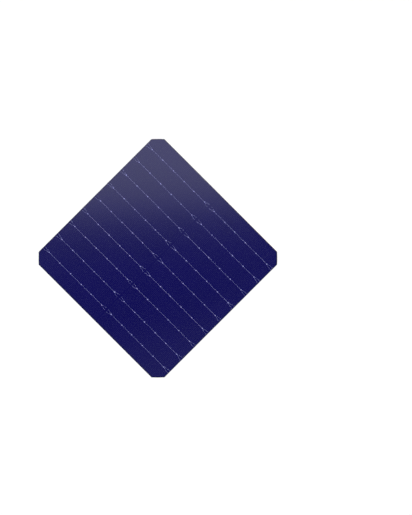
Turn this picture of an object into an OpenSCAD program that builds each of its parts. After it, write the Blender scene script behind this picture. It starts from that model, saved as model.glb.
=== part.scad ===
// Crystalline-silicon solar cell in a half-cut layout.
// It lies flat: rear face down on Z = 0, front face up, busbars along Y, cutting line along X.

/* [Wafer] */
// Width across the flat sides
cell_side = 166; // [150:0.5:182]
// Length that the round of the ingot takes off each side at a corner
corner_leg = 8.55; // [1:0.05:16]
// Thickness of the silicon
wafer_thickness = 0.175; // [0.12:0.005:0.3]

/* [Front fingers] */
// Fingers on each half of the cell
fingers_per_half = 64; // [32:1:96]
// Width of a finger where it meets the wafer
finger_width = 0.04; // [0.03:0.005:0.1]
// Width of a finger's flat top
finger_top_width = 0.024; // [0.01:0.002:0.028]
// Height of the finger print
finger_thickness = 0.014; // [0.008:0.001:0.03]
// Distance from the edge of the cell to the outermost fingers and to the finger ends
finger_edge_margin = 0.8; // [0.5:0.1:2]
// Distance between the two fingers that face each other over the cutting line
cut_gap = 2.2; // [1:0.1:4]

/* [Front busbars] */
// Number of busbars
busbar_count = 9; // [3:1:12]
// Distance from the side of the cell to the outer busbars
busbar_edge_margin = 15; // [8:0.5:20]
// Width of a busbar's line
busbar_width = 0.09; // [0.05:0.01:0.5]
// Height of the busbar print
busbar_thickness = 0.01; // [0.006:0.001:0.03]
// Solder pads on each half of a busbar
pads_per_half = 6; // [3:1:8]
// Width of a solder pad across its busbar
solder_pad_width = 0.7; // [0.5:0.05:1.5]
// Length of a solder pad along its busbar
solder_pad_length = 0.8; // [0.5:0.05:1.5]
// Finger pitches that the fork at the cutting line spans
inner_fork_span = 4; // [2:1:8]
// Finger pitches that the fork at the edge of the cell spans
outer_fork_span = 5; // [2:1:8]
// Distance from a busbar's centre line to the tips of its forks
fork_spread = 1.3; // [0.6:0.1:2.5]
// Width of a fork's prongs
prong_width = 0.07; // [0.04:0.01:0.3]

/* [Rear contacts] */
// Bare rim of silicon round the aluminium
aluminium_rim = 1.2; // [0.5:0.1:3]
// Thickness of the aluminium print
aluminium_thickness = 0.022; // [0.015:0.001:0.04]
// Rear solder pads in the row under each busbar
rear_pads_per_row = 6; // [4:2:10]
// Distance from the edge of the cell to the centres of the outer rear pads
rear_pad_edge_margin = 19; // [12:0.5:25]
// Length of a rear pad
rear_pad_length = 5.9; // [4:0.1:10]
// Width of a rear pad
rear_pad_width = 2.1; // [1:0.1:4]
// Length that is cut off both sides at the corners of a rear pad
rear_pad_chamfer = 0.3; // [0.1:0.05:0.45]
// Thickness of the rear pad print
rear_pad_thickness = 0.01; // [0.006:0.001:0.014]
// Bare silicon between the end of a rear pad and the end of its window
rear_pad_end_gap = 0.75; // [0.2:0.05:1.5]

/* [Hidden] */
$fn = 720;

half_side = cell_side / 2;
ingot_radius = norm([half_side, half_side - corner_leg]);

wafer_bottom = aluminium_thickness;
wafer_top = wafer_bottom + wafer_thickness;
finger_top = wafer_top + finger_thickness;

finger_pitch = (half_side - finger_edge_margin - cut_gap / 2) / (fingers_per_half - 1);
busbar_pitch = (cell_side - 2 * busbar_edge_margin) / (busbar_count - 1);
fork_reach = fork_spread + prong_width / 2;
rear_pad_pitch = (cell_side - 2 * rear_pad_edge_margin) / (rear_pads_per_row - 1);

// A pad moves outward to the next finger only from this last share of a finger pitch.
pad_round_up = 0.3;

silver = [0.72, 0.72, 0.74];

function busbar_x(row) = (row - 1) * busbar_pitch - (half_side - busbar_edge_margin);

function finger_y(index) = cut_gap / 2 + index * finger_pitch;

function finger_half_length(index) = min(
    half_side - finger_edge_margin,
    sqrt(pow(ingot_radius - finger_edge_margin, 2) - pow(finger_y(index), 2))
);

// Outermost finger that is still long enough to carry the fork of the busbar at x
function last_finger(x) = max([
    for (index = [0 : fingers_per_half - 1])
        if (finger_half_length(index) >= abs(x) + fork_reach) index
]);

// Finger under a solder pad, counted outward, on a half busbar whose last pad is on finger outer_pad
function pad_finger(pad, outer_pad) = inner_fork_span
    + floor(pad * (outer_pad - inner_fork_span) / (pads_per_half - 1) + pad_round_up);

// Outline of the wafer, drawn in by inset on every side
module cell_outline(inset = 0) {
    intersection() {
        square(cell_side - 2 * inset, center = true);
        circle(ingot_radius - inset);
    }
}

// Section of a printed finger, with the flanks that the paste takes on
module finger_profile() {
    half_base = finger_width / 2;
    half_top = finger_top_width / 2;
    polygon([
        [-half_base, 0], [half_base, 0], [half_top, finger_thickness], [-half_top, finger_thickness]
    ]);
}

// Bowed prong that leaves the busbar at the origin and ends parallel to it, reach away along Y
module prong(reach) {
    bend_radius = (pow(reach, 2) + pow(fork_spread, 2)) / (2 * fork_spread);
    translate([fork_spread - bend_radius, reach])
        intersection() {
            difference() {
                circle(bend_radius + prong_width / 2);
                circle(bend_radius - prong_width / 2);
            }
            translate([bend_radius - fork_spread, -reach])
                square([fork_reach, reach]);
        }
}

module fork(span) {
    reach = span * finger_pitch + finger_width / 2;
    for (side = [0, 1])
        mirror([side, 0]) prong(reach);
}

// Line, solder pads and forks on the half of a busbar that lies at positive Y
module half_busbar(x) {
    outer_pad = last_finger(x) - outer_fork_span;
    inner_y = finger_y(inner_fork_span);
    outer_y = finger_y(outer_pad);
    translate([x, 0]) {
        translate([-busbar_width / 2, inner_y])
            square([busbar_width, outer_y - inner_y]);
        for (pad = [0 : pads_per_half - 1])
            translate([0, finger_y(pad_finger(pad, outer_pad))])
                square([solder_pad_width, solder_pad_length], center = true);
        translate([0, inner_y]) mirror([0, 1]) fork(inner_fork_span);
        translate([0, outer_y]) fork(outer_fork_span);
    }
}

// Rear pad with cut corners
module rear_pad_outline() {
    half_width = rear_pad_width / 2;
    half_length = rear_pad_length / 2;
    half_end = half_width - rear_pad_chamfer;
    shoulder = half_length - rear_pad_chamfer;
    polygon([
        [half_width, -shoulder], [half_width, shoulder],
        [half_end, half_length], [-half_end, half_length],
        [-half_width, shoulder], [-half_width, -shoulder],
        [-half_end, -half_length], [half_end, -half_length]
    ]);
}

module rear_pad_places(row) {
    for (pad = [0 : rear_pads_per_row - 1])
        translate([busbar_x(row), pad * rear_pad_pitch - (half_side - rear_pad_edge_margin)]) children();
}

module silicon_wafer() {
    color([0.11, 0.11, 0.34])
        translate([0, 0, wafer_bottom])
            linear_extrude(wafer_thickness) cell_outline();
}

module front_fingers() {
    color(silver)
        for (side = [-1, 1], index = [0 : fingers_per_half - 1])
            translate([-finger_half_length(index), side * finger_y(index), wafer_top])
                rotate([90, 0, 90])
                    linear_extrude(2 * finger_half_length(index)) finger_profile();
}

module front_busbar(row) {
    color(silver)
        translate([0, 0, finger_top])
            linear_extrude(busbar_thickness)
                for (side = [0, 1])
                    mirror([0, side]) half_busbar(busbar_x(row));
}

// The long sides of the windows touch the rear pads, and their ends stand clear of the pads.
module rear_aluminium_field() {
    window_length = rear_pad_length + 2 * rear_pad_end_gap;
    color([0.74, 0.74, 0.74])
        linear_extrude(aluminium_thickness)
            difference() {
                cell_outline(aluminium_rim);
                for (row = [1 : busbar_count])
                    rear_pad_places(row) square([rear_pad_width, window_length], center = true);
            }
}

module rear_pad_row(row) {
    color([0.95, 0.95, 0.94])
        translate([0, 0, wafer_bottom - rear_pad_thickness])
            linear_extrude(rear_pad_thickness)
                rear_pad_places(row) rear_pad_outline();
}

silicon_wafer();
front_fingers();
rear_aluminium_field();
for (row = [1 : busbar_count]) {
    front_busbar(row);
    rear_pad_row(row);
}
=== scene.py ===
import math

import bpy
from mathutils import Matrix, Vector


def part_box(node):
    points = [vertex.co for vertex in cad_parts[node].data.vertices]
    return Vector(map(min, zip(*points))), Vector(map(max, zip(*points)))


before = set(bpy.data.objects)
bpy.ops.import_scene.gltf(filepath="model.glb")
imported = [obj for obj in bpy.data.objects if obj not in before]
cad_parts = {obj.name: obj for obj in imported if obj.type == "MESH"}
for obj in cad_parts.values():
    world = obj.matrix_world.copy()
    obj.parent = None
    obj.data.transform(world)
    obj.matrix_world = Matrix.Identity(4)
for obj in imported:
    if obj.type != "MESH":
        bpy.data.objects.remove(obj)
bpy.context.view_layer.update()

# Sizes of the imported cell
MM = 0.001
wafer_low, wafer_high = (Vector(corner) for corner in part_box("silicon_wafer"))
FLOOR_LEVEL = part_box("rear_aluminium_field")[0][2]
CELL_SIDE = wafer_high.x - wafer_low.x
CELL_HALF = CELL_SIDE / 2
INGOT_RADIUS = max(vertex.co.xy.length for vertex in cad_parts["silicon_wafer"].data.vertices)

# Where the photograph shows the cell, in its own pixels
IMAGE_WIDTH = 412
IMAGE_HEIGHT = 515
CELL_CENTRE_PX = (157.91, 258.23)
CELL_SIDE_PX = 177.65

# The cell's X and Y run along the diagonals of the picture
IMAGE_RIGHT = Vector((1, -1, 0)).normalized()
IMAGE_UP = Vector((1, 1, 0)).normalized()
TOWARDS_VIEWER = Vector((0, 0, 1))

# Height of the camera over the front, and its sensor in millimetres
CAMERA_HEIGHT = 0.8
SENSOR_WIDTH = 36

# Values between which most of a noise texture lies
NOISE_LOW = 0.3
NOISE_HIGH = 0.7

# The textured coating mirrors about the same small share of the light at all angles. A dense and thin coat
# does that: head on it mirrors COAT_HEAD_ON of the light, and its weight brings that down to COAT_MIRROR.
COAT_MIRROR = 0.04
COAT_IOR = 4.0
COAT_HEAD_ON = ((COAT_IOR - 1) / (COAT_IOR + 1)) ** 2
COAT_ROUGHNESS = 0.187
COAT_RELIEF = 0.0004 * MM

# Colours of the coating: slow clouds, a share of fine grain, and a duller rim that fades out inward
COAT_DARK = (0.0014, 0.0008, 0.081, 1)
COAT_BRIGHT = (0.0024, 0.0014, 0.088, 1)
COAT_GRAIN_COLOUR = (0.006, 0.005, 0.11, 1)
COAT_GRAIN_SHARE = 0.2
COAT_CLOUD_SIZE = 40 * MM
SILICON_GRAIN_SIZE = 0.25 * MM
RIM_COLOUR = (0.002, 0.0018, 0.056, 1)
RIM_FADE_START = 0.2 * MM
RIM_FADE_END = 1.8 * MM

# The silicon itself, its bare rear and its sawn sides
SILICON_ROUGHNESS = (0.45, 0.6)
SILICON_RELIEF = 0.002 * MM
REAR_DARK = (0.065, 0.072, 0.085, 1)
REAR_BRIGHT = (0.11, 0.118, 0.13, 1)
REAR_GRAIN_SIZE = 0.4 * MM
SIDE_DARK = 0.06
SIDE_BRIGHT = 0.12
SIDE_GRAIN_SIZE = 0.05 * MM
# Height of a face's normal from which the face counts as the front, or as the rear if it points down
FACE_TURN = 0.5

# Fired silver: the colours of its pores and grains on each print, and the size of the grains
BUSBAR_COLOURS = ((0.30, 0.315, 0.72, 1), (0.43, 0.45, 1, 1))
BUSBAR_GRAIN_SIZE = 0.06 * MM
FINGER_COLOURS = ((0.028, 0.028, 0.10, 1), (0.05, 0.05, 0.15, 1))
FINGER_GRAIN_SIZE = 0.04 * MM
REAR_PAD_COLOURS = ((0.86, 0.86, 0.85, 1), (0.97, 0.97, 0.96, 1))
REAR_PAD_GRAIN_SIZE = 0.15 * MM
# Values of the noise at which the silver is all pore and all grain
SILVER_PORE = 0.35
SILVER_GRAIN = 0.6
SILVER_METALLIC = 0.2
SILVER_ROUGHNESS = (0.6, 0.45)
# Depth of the relief as a share of the grain size
SILVER_RELIEF_SHARE = 0.05

# Aluminium print: faint clouds in a powder, with a share of paler flakes
ALUMINIUM_DARK = 0.488
ALUMINIUM_BRIGHT = 0.512
ALUMINIUM_CLOUD_SIZE = 22 * MM
ALUMINIUM_GRAIN_SIZE = 0.18 * MM
FLAKE_BRIGHTNESS = 0.66
FLAKE_SHARE = 0.25
# Values of the noise from which there are flakes, and at which they have their full share
FLAKE_START = 0.35
FLAKE_FULL = 0.7
ALUMINIUM_METALLIC = 0.1
ALUMINIUM_ROUGHNESS = (0.8, 0.65)
ALUMINIUM_RELIEF = 0.008 * MM

# The floor lies a hair under the cell. Its own glow grows outward from the lit middle, up to white.
FLOOR_RADIUS = 0.8
FLOOR_SIDES = 96
FLOOR_DROP = 0.01 * MM
FLOOR_BRIGHTNESS = 0.9
FLOOR_LIT_RADIUS = 0.3
FLOOR_GLOW_MIDDLE = 0.12
FLOOR_GLOW_EDGE = 0.7

# Heights on the unit sphere of directions between which the bright walls give way to the dark ceiling
WALL_TOP = 0.15
CEILING_START = 0.55

# The light card that the coating mirrors: its middle along the picture's right, up and view line
CARD_CENTRE = (-0.10, 0.508, 1.2)
CARD_SIZE = (1.8, 0.77)
CARD_TILT = math.radians(4)
CARD_RADIANCE = 1.8

# A weak card on the other side of the cell, which lifts the lower corner
FILL_CENTRE = (0, -0.43, 1.2)
FILL_SIZE = (1.8, 0.5)
FILL_TILT = math.radians(20)
FILL_RADIANCE = 0.24

# Soft lights on the lower left and right of the picture, with their bearings from its right
SOFT_LIGHT_BEARINGS = {"soft_light_left": math.radians(-155), "soft_light_right": math.radians(-25)}
SOFT_LIGHT_OUT = 1.0
SOFT_LIGHT_HEIGHT = 1.15
SOFT_LIGHT_SIZE = (0.8, 0.8)
SOFT_LIGHT_RADIANCE = 4.8

WHITE = (1, 1, 1, 1)


def image_point(right, up, height):
    """A point in the row frame from its distances along the picture's right, its up and the view line."""
    return IMAGE_RIGHT * right + IMAGE_UP * up + TOWARDS_VIEWER * height


def grey(level):
    return (level, level, level, 1)


class Shader:
    """A node tree with short calls for the nodes that the materials below share."""

    def __init__(self, tree):
        self.tree = tree
        tree.nodes.clear()

    def node(self, kind, inputs=(), **settings):
        made = self.tree.nodes.new(kind)
        for name, value in settings.items():
            setattr(made, name, value)
        for socket, value in dict(inputs).items():
            self.set(made.inputs[socket], value)
        return made

    def set(self, socket, value):
        """Links a socket to another one, or gives it a plain value."""
        if isinstance(value, bpy.types.NodeSocket):
            self.tree.links.new(value, socket)
        else:
            socket.default_value = value

    def math(self, operation, *values):
        made = self.node("ShaderNodeMath", operation=operation)
        for socket, value in zip(made.inputs, values):
            self.set(socket, value)
        return made.outputs[0]

    def ramp(self, value, low, high, to_low=0.0, to_high=1.0):
        """A smooth step from to_low to to_high, as value goes from low to high."""
        return self.node(
            "ShaderNodeMapRange",
            {"Value": value, "From Min": low, "From Max": high, "To Min": to_low, "To Max": to_high},
            interpolation_type="SMOOTHSTEP",
        ).outputs["Result"]

    def spread(self, noise, to_low=0.0, to_high=1.0):
        """Noise brought to the range from to_low to to_high."""
        return self.ramp(noise, NOISE_LOW, NOISE_HIGH, to_low, to_high)

    def noise(self, place, size, detail=2.0, roughness=0.5):
        """Noise whose blots are about size metres across."""
        return self.node(
            "ShaderNodeTexNoise",
            {"Vector": place, "Scale": 1 / size, "Detail": detail, "Roughness": roughness},
        ).outputs["Fac"]

    def mix(self, factor, first, second):
        """The first colour at factor 0 and the second at factor 1."""
        made = self.node("ShaderNodeMix", data_type="RGBA")
        sockets = {socket.identifier: socket for socket in (*made.inputs, *made.outputs)}
        self.set(sockets["Factor_Float"], factor)
        self.set(sockets["A_Color"], first)
        self.set(sockets["B_Color"], second)
        return sockets["Result_Color"]

    def bump(self, height, depth):
        """Surface normal of a relief that is depth metres deep."""
        return self.node("ShaderNodeBump", {"Height": height, "Distance": depth}).outputs["Normal"]

    def place(self):
        return self.node("ShaderNodeTexCoord").outputs["Object"]

    def axes(self, vector):
        return self.node("ShaderNodeSeparateXYZ", {"Vector": vector}).outputs

    def finish(self, surface):
        self.node("ShaderNodeOutputMaterial", {"Surface": surface})

    def finish_principled(self, inputs):
        self.finish(self.node("ShaderNodeBsdfPrincipled", inputs).outputs["BSDF"])


def new_material(name):
    material = bpy.data.materials.new(name)
    material.use_nodes = True
    return material, Shader(material.node_tree)


def distance_from_edge(shader, place):
    """How far a point of the wafer lies inside its outline, a square cut round by the ingot."""
    axes = shader.axes(place)
    x = axes["X"]
    y = axes["Y"]
    furthest = shader.math("MAXIMUM", shader.math("ABSOLUTE", x), shader.math("ABSOLUTE", y))
    squares = shader.math("ADD", shader.math("MULTIPLY", x, x), shader.math("MULTIPLY", y, y))
    from_flats = shader.math("SUBTRACT", CELL_HALF, furthest)
    from_rounds = shader.math("SUBTRACT", INGOT_RADIUS, shader.math("SQRT", squares))
    return shader.math("MINIMUM", from_flats, from_rounds)


def coated_silicon():
    """Navy coating on the front, slate rear, grey sawn edges and a duller line along the rim."""
    material, shader = new_material("coated_silicon")
    place = shader.place()
    clouds = shader.noise(place, COAT_CLOUD_SIZE, detail=3)
    grain = shader.noise(place, SILICON_GRAIN_SIZE)

    coat = shader.mix(shader.spread(clouds), COAT_DARK, COAT_BRIGHT)
    coat = shader.mix(shader.math("MULTIPLY", grain, COAT_GRAIN_SHARE), coat, COAT_GRAIN_COLOUR)
    inside_rim = shader.ramp(distance_from_edge(shader, place), RIM_FADE_START, RIM_FADE_END)
    front = shader.mix(inside_rim, RIM_COLOUR, coat)
    rear = shader.mix(shader.noise(place, REAR_GRAIN_SIZE), REAR_DARK, REAR_BRIGHT)
    sides = shader.mix(shader.noise(place, SIDE_GRAIN_SIZE), grey(SIDE_DARK), grey(SIDE_BRIGHT))

    facing = shader.axes(shader.node("ShaderNodeNewGeometry").outputs["True Normal"])["Z"]
    colour = shader.mix(shader.math("GREATER_THAN", facing, FACE_TURN), sides, front)
    colour = shader.mix(shader.math("LESS_THAN", facing, -FACE_TURN), colour, rear)
    shader.finish_principled({
        "Base Color": colour,
        "Roughness": shader.spread(grain, *SILICON_ROUGHNESS),
        "Specular IOR Level": 0.0,
        "Coat Weight": COAT_MIRROR / COAT_HEAD_ON,
        "Coat Roughness": COAT_ROUGHNESS,
        "Coat IOR": COAT_IOR,
        "Normal": shader.bump(grain, SILICON_RELIEF),
        "Coat Normal": shader.bump(grain, COAT_RELIEF),
    })
    return material


def fired_silver(name, colours, grain_size):
    """Printed and fired silver paste: pale metal grains with duller pores between them."""
    material, shader = new_material(name)
    grains = shader.noise(shader.place(), grain_size, detail=4, roughness=0.6)
    shader.finish_principled({
        "Base Color": shader.mix(shader.ramp(grains, SILVER_PORE, SILVER_GRAIN), *colours),
        "Metallic": SILVER_METALLIC,
        "Roughness": shader.spread(grains, *SILVER_ROUGHNESS),
        "Normal": shader.bump(grains, grain_size * SILVER_RELIEF_SHARE),
    })
    return material


def aluminium_paste():
    """Matte grey aluminium print with a powdery grain and faint clouds."""
    material, shader = new_material("aluminium_paste")
    place = shader.place()
    clouds = shader.noise(place, ALUMINIUM_CLOUD_SIZE, detail=3)
    grain = shader.noise(place, ALUMINIUM_GRAIN_SIZE, detail=3, roughness=0.6)
    flakes = shader.math("MULTIPLY", shader.ramp(grain, FLAKE_START, FLAKE_FULL), FLAKE_SHARE)
    powder = shader.mix(shader.spread(clouds), grey(ALUMINIUM_DARK), grey(ALUMINIUM_BRIGHT))
    shader.finish_principled({
        "Base Color": shader.mix(flakes, powder, grey(FLAKE_BRIGHTNESS)),
        "Metallic": ALUMINIUM_METALLIC,
        "Roughness": shader.spread(grain, *ALUMINIUM_ROUGHNESS),
        "Normal": shader.bump(grain, ALUMINIUM_RELIEF),
    })
    return material


def dress_cell():
    """Gives each node of the cell the material of its print, or of the wafer."""
    by_prefix = {
        "silicon_wafer": coated_silicon(),
        "front_fingers": fired_silver("finger_silver", FINGER_COLOURS, FINGER_GRAIN_SIZE),
        "front_busbar_": fired_silver("busbar_silver", BUSBAR_COLOURS, BUSBAR_GRAIN_SIZE),
        "rear_aluminium_field": aluminium_paste(),
        "rear_pad_row_": fired_silver("rear_silver", REAR_PAD_COLOURS, REAR_PAD_GRAIN_SIZE),
    }
    for name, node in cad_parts.items():
        material = next(made for prefix, made in by_prefix.items() if name.startswith(prefix))
        node.data.materials.clear()
        node.data.materials.append(material)


def add_floor():
    """A pale disc that runs out to white where the lights no longer reach it."""
    material, shader = new_material("pale_floor")
    rays = shader.node("ShaderNodeLightPath").outputs
    mirrored = shader.math("MAXIMUM", rays["Is Glossy Ray"], rays["Is Transmission Ray"])
    seen = shader.math("MAXIMUM", rays["Is Camera Ray"], mirrored)
    reach = shader.node("ShaderNodeVectorMath", {0: shader.place()}, operation="LENGTH")
    from_centre = reach.outputs["Value"]
    lift = shader.ramp(from_centre, FLOOR_LIT_RADIUS, FLOOR_RADIUS, FLOOR_GLOW_MIDDLE, FLOOR_GLOW_EDGE)
    strength = shader.math("MULTIPLY", seen, lift)
    glow = shader.node("ShaderNodeEmission", {"Color": WHITE, "Strength": strength})
    matte = shader.node("ShaderNodeBsdfDiffuse", {"Color": grey(FLOOR_BRIGHTNESS)})
    both = shader.node("ShaderNodeAddShader", {0: matte.outputs[0], 1: glow.outputs[0]})
    shader.finish(both.outputs[0])

    bpy.ops.mesh.primitive_circle_add(
        vertices=FLOOR_SIDES,
        radius=FLOOR_RADIUS,
        fill_type="NGON",
        location=(0, 0, FLOOR_LEVEL - FLOOR_DROP),
    )
    floor = bpy.context.object
    floor.name = "floor"
    floor.data.materials.append(material)


def add_world():
    """A pale studio: bright walls all round and a dark ceiling over the cell."""
    world = bpy.data.worlds.new("studio")
    bpy.context.scene.world = world
    world.use_nodes = True
    shader = Shader(world.node_tree)
    height = shader.axes(shader.node("ShaderNodeTexCoord").outputs["Generated"])["Z"]
    strength = shader.ramp(height, WALL_TOP, CEILING_START, 1.0, 0.0)
    walls = shader.node("ShaderNodeBackground", {"Color": WHITE, "Strength": strength})
    shader.node("ShaderNodeOutputWorld", {"Surface": walls.outputs[0]})


def add_area_light(name, place, facing, size, radiance):
    """A rectangular soft light of the given radiance, which shines along the -Z of its facing."""
    light = bpy.data.lights.new(name, "AREA")
    light.shape = "RECTANGLE"
    light.size, light.size_y = size
    light.energy = radiance * math.pi * size[0] * size[1]
    lamp = bpy.data.objects.new(name, light)
    lamp.matrix_world = Matrix.Translation(place) @ facing.to_4x4()
    bpy.context.scene.collection.objects.link(lamp)


def add_lights():
    """Two cards that the coating mirrors, and two soft lights that give most of the level."""
    image_axes = Matrix((IMAGE_RIGHT, IMAGE_UP, TOWARDS_VIEWER)).transposed()
    card_facing = image_axes @ Matrix.Rotation(CARD_TILT, 3, "Z")
    fill_facing = image_axes @ Matrix.Rotation(FILL_TILT, 3, "Z")
    add_area_light("sheen_card", image_point(*CARD_CENTRE), card_facing, CARD_SIZE, CARD_RADIANCE)
    add_area_light("fill_card", image_point(*FILL_CENTRE), fill_facing, FILL_SIZE, FILL_RADIANCE)
    for name, bearing in SOFT_LIGHT_BEARINGS.items():
        out_right = SOFT_LIGHT_OUT * math.cos(bearing)
        out_up = SOFT_LIGHT_OUT * math.sin(bearing)
        place = image_point(out_right, out_up, SOFT_LIGHT_HEIGHT)
        facing = (-place).to_track_quat("-Z", "Y").to_matrix()
        add_area_light(name, place, facing, SOFT_LIGHT_SIZE, SOFT_LIGHT_RADIANCE)


def add_camera():
    """A camera that looks straight down, with the cell at the photograph's place and scale."""
    metres_per_px = CELL_SIDE / CELL_SIDE_PX
    right = (IMAGE_WIDTH / 2 - CELL_CENTRE_PX[0]) * metres_per_px
    up = (CELL_CENTRE_PX[1] - IMAGE_HEIGHT / 2) * metres_per_px
    camera = bpy.data.cameras.new("camera")
    camera.sensor_width = SENSOR_WIDTH
    camera.lens = SENSOR_WIDTH * CAMERA_HEIGHT / (IMAGE_HEIGHT * metres_per_px)
    view = bpy.data.objects.new("camera", camera)
    view.location = image_point(right, up, wafer_high.z + CAMERA_HEIGHT)
    view.rotation_euler = (0, 0, math.atan2(IMAGE_RIGHT.y, IMAGE_RIGHT.x))
    bpy.context.scene.collection.objects.link(view)
    bpy.context.scene.camera = view


add_camera()
dress_cell()
add_floor()
add_world()
add_lights()
bpy.context.scene.view_settings.view_transform = "Standard"
